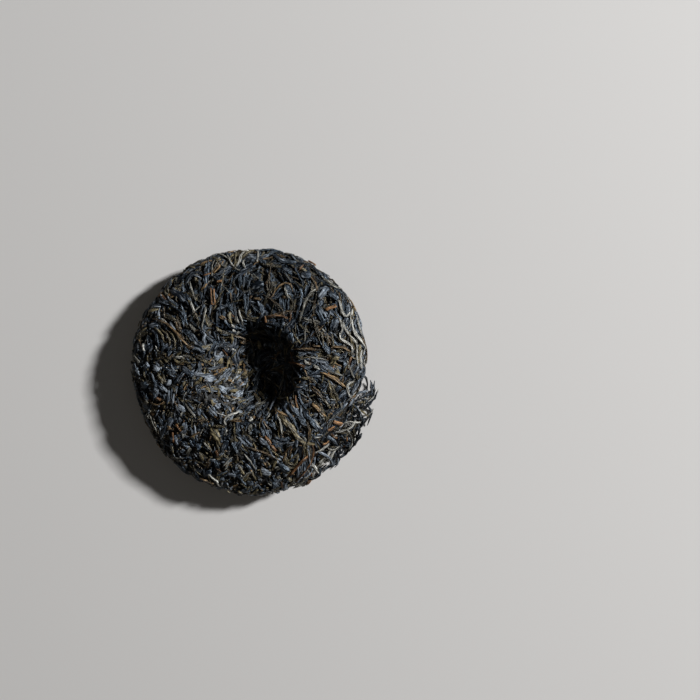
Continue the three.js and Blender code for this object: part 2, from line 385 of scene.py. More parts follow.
def leaf_group():
    group = bpy.data.node_groups.new("dried leaf", "ShaderNodeTree")
    for name in ("Dark", "Middle", "Pale"):
        group.interface.new_socket(name, in_out="INPUT", socket_type="NodeSocketColor")
    group.interface.new_socket("Bloom", in_out="INPUT", socket_type="NodeSocketFloat")
    group.interface.new_socket("Color", in_out="OUTPUT", socket_type="NodeSocketColor")
    for name in ("Roughness", "Height"):
        group.interface.new_socket(name, in_out="OUTPUT", socket_type="NodeSocketFloat")
    given = add_node(group, "NodeGroupInput").outputs
    result = add_node(group, "NodeGroupOutput").inputs

    tone = add_node(group, "ShaderNodeAttribute", attribute_name="tone").outputs["Fac"]
    uv = add_node(group, "ShaderNodeUVMap", uv_map="leaf").outputs[0]
    across, along, _ = add_node(group, "ShaderNodeSeparateXYZ", {0: uv}).outputs
    own_layer = calculate(group, "MULTIPLY", tone, LEAF_SHIFT)

    ridges_across = calculate(group, "MULTIPLY", across, RIDGES_ACROSS)
    ridges_along = calculate(group, "MULTIPLY", along, RIDGES_ALONG)
    ridge_place = texture_place(group, ridges_across, ridges_along, own_layer)
    ridges = noise_texture(group, ridge_place, detail=3.0, roughness=0.6)
    fibres_across = calculate(group, "MULTIPLY", across, FIBRES_ACROSS)
    fibre_place = texture_place(group, fibres_across, along, own_layer)
    fibres = noise_texture(group, fibre_place)
    spot = add_node(group, "ShaderNodeTexCoord").outputs["Object"]
    patches = noise_texture(group, spot, PATCH_SCALE, detail=4.0, roughness=0.6)

    # Painted shade: low between the ridges, in the grooves, the leaf keeps its dark colour.
    raised = rescaled(group, ridges, *RAISED_ZONE)
    lightened = calculate(group, "ADD", tone, LEAST_TONE)
    middle_share = calculate(group, "MULTIPLY", lightened, raised, clamp=True)
    colour = blend_colours(group, middle_share, given["Dark"], given["Middle"])

    # Paler crests: partly rubbed wear, partly a painted highlight.
    crest = rescaled(group, ridges, *CREST_ZONE)
    rubbed_and_highlit = calculate(group, "MULTIPLY", crest, patches)
    worn_and_highlit = calculate(group, "MULTIPLY", rubbed_and_highlit, CREST_WEAR_AND_HIGHLIGHT)
    palest = calculate(group, "POWER", tone, PALE_STEEPNESS)
    toned = calculate(group, "MULTIPLY", palest, PALE_SHARE)
    pale = calculate(group, "ADD", worn_and_highlit, toned)
    pale_share = calculate(group, "MULTIPLY", pale, raised, clamp=True)
    colour = blend_colours(group, pale_share, colour, given["Pale"])

    bloom_patches = rescaled(group, patches, *BLOOM_ZONE)
    bloom = calculate(group, "MULTIPLY", bloom_patches, given["Bloom"])
    colour = blend_colours(group, bloom, colour, BLOOM_COLOUR)

    fibre_relief = calculate(group, "MULTIPLY", fibres, FIBRE_HEIGHT)
    height = calculate(group, "ADD", ridges, fibre_relief)
    roughness = rescaled(group, fibres, *FIBRE_ZONE, *LEAF_ROUGHNESS)
    group.links.new(colour, result["Color"])
    group.links.new(roughness, result["Roughness"])
    group.links.new(height, result["Height"])
    return group


dried_leaf = leaf_group()
print("leaf group nodes:", len(dried_leaf.nodes))


# %% A material for each kind of leaf
COOL_SHEEN = (0.66, 0.83, 1.0)
WARM_SHEEN = (1.0, 0.94, 0.82)
LEAF_RELIEF = 1.3 * MM


def new_material(name):
    """A material, its tree of nodes and its shader."""
    material = bpy.data.materials.new(name)
    material.use_nodes = True
    tree = material.node_tree
    return material, tree, tree.nodes["Principled BSDF"]


def add_bump(tree, shader, height, relief):
    """Lets the height stand out of the surface by this relief."""
    bump = add_node(tree, "ShaderNodeBump", {"Height": height, "Strength": 1.0, "Distance": relief})
    tree.links.new(bump.outputs["Normal"], shader.inputs["Normal"])


def leaf_material(name, dark, middle, pale, bloom=0.4, specular=0.5, sheen=WARM_SHEEN):
    material, tree, shader = new_material(name)
    colours = {"Dark": (*dark, 1), "Middle": (*middle, 1), "Pale": (*pale, 1)}
    look = add_node(tree, "ShaderNodeGroup", node_tree=dried_leaf)
    for socket, colour in colours.items():
        look.inputs[socket].default_value = colour
    look.inputs["Bloom"].default_value = bloom
    tree.links.new(look.outputs["Color"], shader.inputs["Base Color"])
    tree.links.new(look.outputs["Roughness"], shader.inputs["Roughness"])
    add_bump(tree, shader, look.outputs["Height"], LEAF_RELIEF)
    shader.inputs["Specular IOR Level"].default_value = specular
    shader.inputs["Specular Tint"].default_value = (*sheen, 1)
    return material


charcoal = leaf_material(
    "charcoal leaf",
    dark=(0.0006, 0.0008, 0.0016),
    middle=(0.004, 0.006, 0.011),
    pale=(0.1, 0.092, 0.08),
    specular=0.32,
    sheen=COOL_SHEEN,
)
slate = leaf_material(
    "slate leaf",
    dark=(0.0012, 0.002, 0.004),
    middle=(0.0085, 0.0128, 0.0215),
    pale=(0.3, 0.325, 0.355),
    sheen=COOL_SHEEN,
)
olive = leaf_material(
    "olive leaf",
    dark=(0.003, 0.0024, 0.0012),
    middle=(0.028, 0.022, 0.009),
    pale=(0.27, 0.22, 0.12),
    bloom=0.1,
)
brown = leaf_material(
    "brown leaf",
    dark=(0.006, 0.0032, 0.0015),
    middle=(0.055, 0.029, 0.011),
    pale=(0.42, 0.27, 0.13),
    bloom=0.0,
)
silver = leaf_material(
    "silver bud",
    dark=(0.03, 0.028, 0.022),
    middle=(0.2, 0.195, 0.17),
    pale=(0.62, 0.61, 0.56),
    bloom=0.0,
)
stem = leaf_material(
    "stem",
    dark=(0.02, 0.008, 0.003),
    middle=(0.15, 0.058, 0.02),
    pale=(0.4, 0.21, 0.09),
    bloom=0.0,
)

# %% The broken tea of the core, painted nearly black as shade
# Painted shade: the crumbs of the core are coloured nearly black for the shade under the leaves.
DARKEST_CRUMB_SHADE = (0.0015, 0.0014, 0.0013, 1)
PALEST_CRUMB_SHADE = (0.007, 0.006, 0.005, 1)
CRUMB_SCALE = 240.0
FLAKE_SCALE = 620.0
CRUMB_ROUGHNESS = 0.75
CRUMB_RELIEF = 0.8 * MM


def crumb_material():
    material, tree, shader = new_material("broken tea")
    spot = add_node(tree, "ShaderNodeTexCoord").outputs["Object"]
    flakes = add_node(tree, "ShaderNodeTexVoronoi", {"Vector": spot, "Scale": FLAKE_SCALE})
    shades = noise_texture(tree, spot, CRUMB_SCALE, detail=5.0)
    colour = blend_colours(tree, shades, DARKEST_CRUMB_SHADE, PALEST_CRUMB_SHADE)
    height = calculate(tree, "ADD", flakes.outputs["Distance"], shades)
    tree.links.new(colour, shader.inputs["Base Color"])
    shader.inputs["Roughness"].default_value = CRUMB_ROUGHNESS
    add_bump(tree, shader, height, CRUMB_RELIEF)
    return material


def build_core():
    shape = core_mesh()
    sink_and_roughen(shape)
    mesh = bpy.data.meshes.new("core")
    shape.to_mesh(mesh)
    shape.free()
    return new_piece("core", mesh, crumb_material())


core = build_core()
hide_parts("tea_cake")
print("core faces:", len(core.data.polygons))

# %% [markdown]
# ## One rolled leaf
#
# A leaf was rolled until its two edges met in a groove, then squashed and twisted. A few unlike ones
# are made as patterns, one unit long, one wide and one high. Each starts as a cone with equal ends,
# gets rings by subdivision, has its top pressed into a groove, and has each ring scaled, turned and
# pushed aside. Thousands of copies are then stretched over the cake, so a pattern has only a few
# dozen faces.

# %% Patterns for leaves
LEAF_RINGS = 6
LEAF_SIDES = 8
STEM_SIDES = 6
CRUMB_RINGS = 2
CRUMB_SIDES = 5

GROOVE_OFFSET = 0.1
GROOVE_REACH = 0.25
RING_MARGIN = 0.01
WIDTH_FILL = 0.5
HEIGHT_FILL = 0.7
WIDTH_WEAR = (-0.25, 0.2)
HEIGHT_WEAR = (-0.3, 0.2)
RING_TURN = 0.35
RING_SHIFT = (0.2, 0.15)


def leaf_pattern(draw, sides, rings, tip, twist, groove, crinkle):
    """One leaf along Z, from 0 to 1, with its width in X and its height in Y."""
    leaf = bmesh.new()
    bmesh.ops.create_cone(leaf, cap_ends=True, segments=sides, radius1=0.5, radius2=0.5, depth=1)
    bmesh.ops.translate(leaf, verts=leaf.verts, vec=(0, 0, 0.5))
    long_edges = [edge for edge in leaf.edges if abs(edge.verts[0].co.z - edge.verts[1].co.z) > 0.5]
    bmesh.ops.subdivide_edges(leaf, edges=long_edges, cuts=rings - 1, use_grid_fill=True)
    off_middle = draw.uniform(-GROOVE_OFFSET, GROOVE_OFFSET)
    for point in leaf.verts:
        if point.co.y > 0:
            point.co.y -= groove * max(0, 1 - abs(point.co.x - off_middle) / GROOVE_REACH)
    for ring in range(rings + 1):
        share = ring / rings
        points = [point for point in leaf.verts if abs(point.co.z - share) < RING_MARGIN]
        middle = Vector((0, 0, share))
        fullness = math.sin(math.pi * share)
        width = mix(tip, 1, fullness**WIDTH_FILL) * (1 + crinkle * draw.uniform(*WIDTH_WEAR))
        height = mix(tip, 1, fullness**HEIGHT_FILL) * (1 + crinkle * draw.uniform(*HEIGHT_WEAR))
        bmesh.ops.scale(leaf, vec=(width, height, 1), space=Matrix.Translation(-middle), verts=points)
        turn = twist * (share - 0.5) + crinkle * draw.uniform(-RING_TURN, RING_TURN)
        bmesh.ops.rotate(leaf, cent=middle, matrix=Matrix.Rotation(turn, 3, "Z"), verts=points)
        aside = [crinkle * draw.uniform(-shift, shift) for shift in RING_SHIFT]
        bmesh.ops.translate(leaf, verts=points, vec=(*aside, 0))
    return leaf


def pattern_arrays(leaf):
    """The corners and faces of a pattern as arrays. The pattern itself is freed."""
    points = np.array([tuple(point.co) for point in leaf.verts])
    leaf.verts.index_update()
    faces = [[point.index for point in face.verts] for face in leaf.faces]
    leaf.free()
    return {"across": points[:, 0], "height": points[:, 1], "along": points[:, 2], "faces": faces}


def several_patterns(seed, count, sides, rings, tip, twist, groove, crinkle):
    draw = np.random.default_rng(seed)
    made = []
    for _ in range(count):
        leaf = leaf_pattern(
            draw,
            sides,
            rings,
            tip=draw.uniform(*tip),
            twist=draw.uniform(-twist, twist),
            groove=draw.uniform(*groove),
            crinkle=crinkle,
        )
        made.append(pattern_arrays(leaf))
    return made


rolled_patterns = several_patterns(
    seed=11, count=16, sides=LEAF_SIDES, rings=LEAF_RINGS,
    tip=(0.25, 0.65), twist=1.2, groove=(0.1, 0.55), crinkle=1.0,
)
flat_patterns = several_patterns(
    seed=12, count=8, sides=LEAF_SIDES, rings=LEAF_RINGS,
    tip=(0.3, 0.7), twist=0.2, groove=(-0.2, 0.3), crinkle=0.6,
)
stem_patterns = several_patterns(
    seed=13, count=5, sides=STEM_SIDES, rings=LEAF_RINGS,
    tip=(0.7, 0.95), twist=0.6, groove=(0, 0.1), crinkle=0.35,
)
crumb_patterns = several_patterns(
    seed=14, count=10, sides=CRUMB_SIDES, rings=CRUMB_RINGS,
    tip=(0.35, 0.8), twist=0.8, groove=(0, 0.2), crinkle=1.2,
)
print("faces of a leaf:", len(rolled_patterns[0]["faces"]))
print("faces of a crumb:", len(crumb_patterns[0]["faces"]))

# %% [markdown]
# ## How the leaves lie
#
# Pressing lines a leaf up with its neighbours: they run round the rim, down into the hollow, and in
# small swirls between the two. A field of directions over the skin gives that, a sum of waves in
# space, so that leaves close together point the same way. Where the photograph shows the way of the
# leaves clearly, they are combed to it: each row is a pixel of the picture, and the heading there in
# degrees, 0 to the right and 90 up. From its middle, each leaf is then walked over the skin station by
# station, bending as it goes, as a pencil would draw it.

# %% The flow of the leaves
STATIONS = 9
ARCH_FOOT = 0.6
PRESSED_RISE = 1.2 * MM
RIM_ZONE = (0.86, 0.98)
RIM_PULL = (0.3, 0.9)
LIP_ZONE = (0.75, 1.5)
LIP_RAYS = math.radians(-45)
WAVE_LENGTHS = (70, 48, 34, 25, 18, 13)
WAVE_HEIGHT = 0.95
SWAY_RATE = 2 * math.pi / (24 * MM)
COMB_REACH = 11 * MM
COMB_STRENGTH = 2.2
COMBED_PIXELS = (
    (256, 285, 75),
    (270, 290, 45),
    (290, 272, -25),
    (315, 272, -50),
    (303, 288, -75),
    (322, 284, -35),
    (308, 302, 60),
    (298, 312, 80),
    (342, 310, -60),
    (352, 330, -62),
    (360, 352, -85),
    (330, 328, 75),
    (315, 350, 5),
    (338, 352, -20),
    (330, 372, -30),
    (348, 380, 60),
    (312, 385, -30),
    (322, 400, -45),
    (338, 405, -85),
    (300, 400, -40),
    (290, 418, -55),
    (310, 425, -45),
    (272, 425, -50),
    (255, 430, -45),
    (262, 452, -20),
    (298, 465, 45),
    (250, 470, -60),
    (236, 445, -88),
    (213, 448, -60),
    (222, 470, 40),
    (240, 300, 88),
    (222, 305, 80),
    (205, 315, 75),
    (192, 300, -70),
    (172, 312, -25),
    (165, 330, -40),
    (182, 340, -45),
    (150, 345, 70),
    (148, 370, -70),
    (152, 390, -60),
    (168, 405, 60),
    (188, 412, -55),
    (155, 425, -60),
    (196, 388, 60),
    (216, 375, 48),
    (226, 392, -40),
    (212, 404, -60),
    (236, 372, 60),
    (175, 435, 75),
)


def flow_waves(seed):
    """Waves through space, each with a way that it runs, as steep as it is short, and a start."""
    draw = np.random.default_rng(seed)
    ways = unit(draw.normal(size=(len(WAVE_LENGTHS), 3)))
    lengths = np.array(WAVE_LENGTHS)[:, None] * MM
    return ways * 2 * math.pi / lengths, draw.uniform(0, 2 * math.pi, len(ways))


wave_ways, wave_phases = flow_waves(seed=21)


def as_line(heading):
    """A leaf has no front, so half a turn changes nothing: headings are doubled, then averaged."""
    return np.stack([np.cos(2 * heading), np.sin(2 * heading)], axis=-1)


def closeness(place, pixel, reach):
    """How close the places are to the one that the pixel shows on top of the cake, from 1 to 0."""
    x, y = spot_under(pixel, CREST_HEIGHT)
    away = np.hypot(place[:, 0] - x, place[:, 1] - y)
    return np.exp(-((away / reach) ** 2))


def flow(angle, distance, place):
    """The heading of leaves there: 0 along the section, a quarter turn round the axis."""
    swirl = WAVE_HEIGHT * np.sin(place @ wave_ways.T + wave_phases).sum(axis=-1)
    radius = section_radius(distance)
    at_rim = smooth(radius / CAKE_RADIUS, *RIM_ZONE) * mix(*RIM_PULL, np.abs(np.cos(angle)))
    rays = 0.5 + 0.5 * np.cos(angle - LIP_RAYS)
    on_top = smooth(distance, waist_run, crest_run)
    at_lip = (1 - smooth(radius / CREST_RADIUS, *LIP_ZONE)) * on_top * rays
    line = as_line(swirl) * (1 - at_rim)[:, None] * (1 - at_lip)[:, None]
    line += as_line(np.zeros_like(swirl)) * at_lip[:, None]
    line += as_line(np.full_like(swirl, math.pi / 2)) * at_rim[:, None]
    for pixel_x, pixel_y, degrees in COMBED_PIXELS:
        pull = COMB_STRENGTH * closeness(place, (pixel_x, pixel_y), COMB_REACH) * (distance > waist_run)
        line += as_line(math.pi + angle - math.radians(degrees)) * pull[:, None]
    return np.arctan2(line[:, 1], line[:, 0]) / 2


def walk(leaves):
    """Stations along leaves. A leaf starts in its middle, and each half is walked to its own end."""
    _, round_way, along_way, _, _ = skin_frame(leaves["angle"], leaves["distance"])
    heading = leaves["heading"][:, None]
    ahead = np.cos(heading) * along_way + np.sin(heading) * round_way
    back_points, back_normals = walk_half(leaves, -ahead, -1)
    points, normals = walk_half(leaves, ahead, 1)
    points = np.concatenate([back_points[:, :0:-1], points], axis=1)
    normals = np.concatenate([back_normals[:, :0:-1], normals], axis=1)
    share = np.linspace(0, 1, STATIONS)
    arch = leaves["arch"][:, None] * (4 * share * (1 - share) - ARCH_FOOT)
    rise = leaves["lift"][:, None] + arch + leaves["pitch"][:, None] * (2 * share - 1)
    rise = np.minimum(rise, PRESSED_RISE)
    return points + normals * rise[..., None], normals


def walk_half(leaves, direction, way):
    """Stations from the middle of each leaf to one end, and the way outwards at each."""
    angle, distance = leaves["angle"], leaves["distance"]
    stride = leaves["length"] / (STATIONS - 1)
    points, normals = [], []
    for step in range(STATIONS // 2 + 1):
        place, round_way, along_way, normal, lever = skin_frame(angle, distance)
        points.append(place)
        normals.append(normal)
        waving = leaves["sway"] * np.sin(leaves["phase"] + way * step * stride * SWAY_RATE)
        turn = way * (leaves["bend"] + waving) * stride
        direction = unit(direction - normal * (direction * normal).sum(axis=-1, keepdims=True))
        direction = unit(direction + np.cross(normal, direction) * turn[:, None])
        distance = distance + (direction * along_way).sum(axis=-1) * stride
        angle = angle + (direction * round_way).sum(axis=-1) * stride / np.maximum(lever, MM)
        past_middle = (distance < 0) | (distance > section_length)
        distance = np.where(distance < 0, -distance, distance)
        distance = np.where(distance > section_length, 2 * section_length - distance, distance)
        angle = np.where(past_middle, angle + math.pi, angle)
    return np.stack(points, axis=1), np.stack(normals, axis=1)


# %% [markdown]
# ## Laying leaves as one mesh
#
# A thousand objects would be slow, and instances don't survive an export. So the leaves of one kind
# become one mesh: arrays hold every copy of every pattern, stretched between its stations, and Blender
# gets the arrays at once. Each leaf carries a tone from 0 to 1, and a UV map across and along it.

# %% Join stretched patterns into one mesh
UV_LENGTH = 4 * MM
TABLE_CLEARANCE = 0.05 * MM


def stretched(pattern, points, normals, widths, heights):
    """The corners of one pattern, stretched along each row of stations."""
    forward = unit(np.gradient(points, axis=1))
    side = unit(np.cross(forward, normals))
    up = np.cross(side, forward)
    place = np.clip(pattern["along"], 0, 1) * (STATIONS - 1)
    before = np.minimum(place.astype(int), STATIONS - 2)
    share = (place - before)[None, :, None]

    def between(stations):
        return mix(stations[:, before], stations[:, before + 1], share)

    sideways = (pattern["across"] * widths[:, None])[..., None]
    upwards = (pattern["height"] * heights[:, None])[..., None]
    corners = between(points) + between(side) * sideways + between(up) * upwards
    corners[..., 2] = np.maximum(corners[..., 2], TABLE_CLEARANCE)
    return corners


def joined_mesh(name, draw, patterns, points, normals, widths, heights, tones):
    """One mesh of all these leaves. Each is a copy of one of the patterns, picked by chance."""
    corners, faces, across, along, shades = [], [], [], [], []
    lengths = np.linalg.norm(np.diff(points, axis=1), axis=-1).sum(axis=1)
    picks = draw.integers(len(patterns), size=len(points))
    made = 0
    for number, pattern in enumerate(patterns):
        mine = picks == number
        if not mine.any():
            continue
        block = stretched(pattern, points[mine], normals[mine], widths[mine], heights[mine])
        count, size = block.shape[:2]
        corners.append(block.reshape(-1, 3))
        across.append(np.tile(pattern["across"] + 0.5, count))
        along.append((pattern["along"] * lengths[mine][:, None] / UV_LENGTH).ravel())
        shades.append(np.repeat(tones[mine], size))
        for copy in range(count):
            start = made + copy * size
            faces.extend([[start + corner for corner in face] for face in pattern["faces"]])
        made += count * size
    mesh = bpy.data.meshes.new(name)
    mesh.from_pydata(np.concatenate(corners), [], faces)
    mesh.attributes.new("tone", "FLOAT", "POINT").data.foreach_set("value", np.concatenate(shades))
    used = np.empty(len(mesh.loops), dtype=np.int32)
    mesh.loops.foreach_get("vertex_index", used)
    uv = np.stack([np.concatenate(across)[used], np.concatenate(along)[used]], axis=-1)
    mesh.uv_layers.new(name="leaf").uv.foreach_set("vector", uv.ravel())
    return mesh


def leaves_piece(name, material, *leaves):
    mesh = joined_mesh(name, *leaves)
    triangles = sum(len(face.vertices) - 2 for face in mesh.polygons)
    print(name, "triangles:", triangles)
    return new_piece(name, mesh, material)


# %% [markdown]
# ## Spreading the leaves
#
# Random places leave bald patches, so each kind is spread by the golden angle, as seeds are in a
# sunflower, by equal shares of the skin's area, and only then jittered. Every place gets a small bundle
# of leaves side by side, because that is how they were pressed.

# %% Equal shares of the skin's area
GOLDEN_TURN = math.pi * (3 - math.sqrt(5))
UNDERSIDE_SHARE = 0.75
FINE_STEPS = 2000

fine_runs = np.linspace(0, section_length, FINE_STEPS)
fine_radii = section_radius(fine_runs)
fine_share = np.cumsum(fine_radii * np.where(fine_runs < waist_run, UNDERSIDE_SHARE, 1))
fine_share = fine_share / fine_share[-1]

# %% Where the leaves are whole, broken or missing
COARSE_WAY = unit(np.array([0.8, 0.6, 0.0]))
COARSE_ZONE = (-55 * MM, 25 * MM)
SLOPE_PIXEL = (224, 386)
SLOPE_REACH = 20 * MM
FACE_ZONE = (0.2, 0.6)
FACE_FOOT = 3 * MM
BITE_EDGE = 5 * MM
BARE_SHARE = 0.95


def coarseness(place):
    """How whole the leaves are there: broken small at the lower left, 0, and whole at the right, 1."""
    on_slope = closeness(place, SLOPE_PIXEL, SLOPE_REACH)
    return smooth(place @ COARSE_WAY, *COARSE_ZONE) * (1 - on_slope)


def broken_face(place):
    """1 on the broken face of the bite, 0 on the whole skin."""
    bitten = bite_share(np.arctan2(place[:, 1], place[:, 0]))
    edge = CAKE_RADIUS - BITE_DEPTH * bitten
    away = np.hypot(place[:, 0], place[:, 1])
    return smooth(bitten, *FACE_ZONE) * smooth(away, edge - BITE_EDGE, edge) * (place[:, 2] > FACE_FOOT)


# %% Spread bundles over the skin
PLACE_JITTER = 0.05
SHORTEST = 0.55
LONGEST = 1.1
LENGTH_SHAPE = (1.5, 2.0)
LENGTH_CHANGE = (0.75, 1.15)
WIDTH_SHAPE = (1.5, 1.8)
WIDTH_CHANGE = (0.75, 1.2)
LIFT_JITTER = 0.2 * MM
BUNDLE_SPACING = 0.95
BUNDLE_SLIP = 0.12
LEAST_LEVER = 4 * MM
HEADING_JITTER = 0.07
HOOK_SHARE = 0.06
HOOK_BEND = 4
BEND_JITTER = 5
HIGHEST_ARCH = 0.9 * MM
PITCH = 0.45 * MM


def spread_leaves(
    draw, places, length, width, thickness, top, bundle=(1, 1), stray=0.28, curl=22, sway=45, right=1
):
    """Stations, widths and heights of leaves in bundles, spread evenly over the whole skin. Of those
    at the right, where the leaves are whole, only the share that `right` says is kept."""
    share = (np.arange(places) + draw.uniform(0, 1, places)) / places
    angle = np.arange(places) * GOLDEN_TURN + draw.normal(0, PLACE_JITTER, places)
    distance = np.interp(share, fine_share, fine_runs)
    place = skin(angle, distance)
    whole = coarseness(place)
    wanted = mix(1, right, whole) * (1 - BARE_SHARE * broken_face(place))
    kept = draw.uniform(0, 1, places) < wanted
    angle, distance, whole, places = angle[kept], distance[kept], whole[kept], kept.sum()
    members = draw.integers(bundle[0], bundle[1] + 1, size=places)
    owner = np.repeat(np.arange(places), members)
    rank = np.concatenate([np.arange(count) - (count - 1) / 2 for count in members])
    count = len(owner)

    place, _, _, _, lever = skin_frame(angle, distance)
    heading = (flow(angle, distance, place) + draw.normal(0, stray, places))[owner]
    hooked = np.where(draw.uniform(0, 1, places) < HOOK_SHARE, HOOK_BEND, 1)
    lengths = mix(*length, draw.beta(*LENGTH_SHAPE, places)) * mix(SHORTEST, LONGEST, whole)
    lengths = lengths[owner] * draw.uniform(*LENGTH_CHANGE, count)
    widths = mix(*width, draw.beta(*WIDTH_SHAPE, places))[owner]
    widths = widths * draw.uniform(*WIDTH_CHANGE, count)
    heights = mix(*thickness, draw.uniform(0, 1, count))
    tops = mix(*top, draw.uniform(0, 1, places))[owner] + draw.normal(0, LIFT_JITTER, count)

    aside = rank * widths * BUNDLE_SPACING
    back = draw.normal(0, BUNDLE_SLIP, count) * lengths
    turn = (np.cos(heading) * aside + np.sin(heading) * back) / np.maximum(lever[owner], LEAST_LEVER)
    start = distance[owner] - np.sin(heading) * aside + np.cos(heading) * back
    leaves = {
        "angle": angle[owner] + turn,
        "distance": np.clip(start, 0, section_length),
        "heading": heading + draw.normal(0, HEADING_JITTER, count),
        "length": lengths,
        "bend": (draw.normal(0, curl, places) * hooked)[owner] + draw.normal(0, BEND_JITTER, count),
        "sway": draw.uniform(0, sway, places)[owner],
        "phase": draw.uniform(0, 2 * math.pi, places)[owner],
        "lift": tops - heights / 2,
        "arch": draw.uniform(0, HIGHEST_ARCH, count),
        "pitch": draw.normal(0, PITCH, count),
    }
    points, normals = walk(leaves)
    return points, normals, widths, heights


# %% Where the leaves are paler or darker, with painted light and shade at some spots
# Spots on top where the leaves are made paler or darker. The slope and the rim that face the lamp get a
# painted highlight, and a pit at the hollow's edge gets painted shade; the other spots only change the
# leaves' tone.
TONE_SPOTS_AND_PAINTED_LIGHT = (
    # Painted highlight on the slope of the hollow that faces the lamp.
    {"pixel": SLOPE_PIXEL, "reach": 18 * MM, "change": 1.6},
    # Painted highlight on the rim that faces the lamp.
    {"pixel": (354, 335), "reach": 16 * MM, "change": 0.5},
    {"pixel": (285, 290), "reach": 40 * MM, "change": -0.6},
    {"pixel": (270, 455), "reach": 30 * MM, "change": 0.25},
    {"pixel": (240, 262), "reach": 14 * MM, "change": 0.2},
    {"pixel": (325, 370), "reach": 12 * MM, "change": 0.3},
    {"pixel": (270, 320), "reach": 9 * MM, "change": -0.3},
    # Painted shade in a pit at the upper left edge of the hollow.
    {"pixel": (226, 328), "reach": 9 * MM, "change": -0.7},
    {"pixel": (160, 420), "reach": 30 * MM, "change": 0.05},
)
BITE_PAINTED_SHADE = 0.8
MOTTLE = 0.45
MOTTLE_SIZE = 13 * MM


def tone_change(place):
    """How much paler the leaves are there than elsewhere: in mottles, darker on the broken face of the
    bite as painted shade, and paler or darker at spots on top, some of them painted light and shade.
    """
    mottles = np.array([noise.noise(Vector(spot) / MOTTLE_SIZE) for spot in place])
    # Painted shade: the leaves on the broken face of the bite are darkened.
    change = MOTTLE * mottles - BITE_PAINTED_SHADE * broken_face(place)
    on_top = place[:, 2] > WAIST_HEIGHT / 2
    for spot in TONE_SPOTS_AND_PAINTED_LIGHT:
        change += spot["change"] * closeness(place, spot["pixel"], spot["reach"]) * on_top
    return change


# %% Lay a whole kind of leaf
TONE_SHAPE = (0.9, 1.3)
NOTABLE_THICKNESS = 1.5 * MM
NOTABLE_LIFT = 1.1 * MM


def lay_leaves(name, material, seed, patterns, tone=(0, 1), notable=(), **spread):
    """One piece of leaves of a kind: those spread by chance, then the notable ones of the photograph."""
    draw = np.random.default_rng(seed)
    points, normals, widths, heights = spread_leaves(draw, **spread)
    tones = mix(*tone, draw.beta(*TONE_SHAPE, len(points)))
    tones = np.clip(tones + tone_change(points[:, STATIONS // 2]), 0, 1)
    if notable:
        rows = [notable_leaf(leaf["pixels"]) for leaf in notable]
        points = np.concatenate([points, [row[0] for row in rows]])
        normals = np.concatenate([normals, [row[1] for row in rows]])
        widths = np.concatenate([widths, [leaf["width"] for leaf in notable]])
        heights = np.concatenate([heights, np.full(len(notable), NOTABLE_THICKNESS)])
        tones = np.concatenate([tones, [leaf["tone"] for leaf in notable]])
    return leaves_piece(name, material, draw, patterns, points, normals, widths, heights, tones)


def span(low, high):
    return (low * MM, high * MM)


# %% [markdown]
# ## Leaves that stand out in the photograph
#
# Some leaves catch the eye: pale buds, orange stems, one broad olive leaf below the hollow. Each is
# given by the few pixels of the photograph that it passes. Those are turned into places of the skin
# by stepping towards them, so that the leaf lies on the cake seen from any side.

# %% From pixels to the skin
SEARCH_STEPS = 12
SEARCH_STRIDE = 0.8
SEARCH_LEVER = 3 * MM


def skin_under(pixels):
    """The angles and distances of the places on top of the cake that these pixels show."""
    x, y = spot_under(pixels, CREST_HEIGHT)
    angle = np.arctan2(y, x)
    top = fine_runs > waist_run
    radius = np.hypot(x, y)
    distance = np.interp(-radius, -fine_radii[top], fine_runs[top])
    for _ in range(SEARCH_STEPS):
        place, round_way, along_way, _, lever = skin_frame(angle, distance)
        x, y = spot_under(pixels, place[:, 2])
        short = np.stack([x - place[:, 0], y - place[:, 1], np.zeros_like(x)], axis=-1)
        distance = distance + SEARCH_STRIDE * (short * along_way).sum(axis=-1)
        distance = np.clip(distance, waist_run, section_length - MM)
        sideways = (short * round_way).sum(axis=-1)
        angle = angle + SEARCH_STRIDE * sideways / np.maximum(lever, SEARCH_LEVER)
    return angle, distance


def through(pixels):
    """A smooth line through a few pixels, as one place for each station."""
    run = run_along(pixels)
    stations = np.linspace(0, run[-1], STATIONS)
    fits = [np.polyfit(run, column, len(pixels) - 1) for column in np.transpose(pixels)]
    return np.stack([np.polyval(fit, stations) for fit in fits], axis=-1)


def notable_leaf(pixels):
    """The stations of a leaf that passes these pixels, and the way outwards at each."""
    angle, distance = skin_under(through(pixels))
    place, _, _, normal, _ = skin_frame(angle, distance)
    return place + normal * NOTABLE_LIFT, normal


def seen(width, tone, *pixels):
    """A leaf of the photograph: its width in mm, how pale it is, and the pixels that it passes."""
    return {"width": width * MM, "tone": tone, "pixels": pixels}


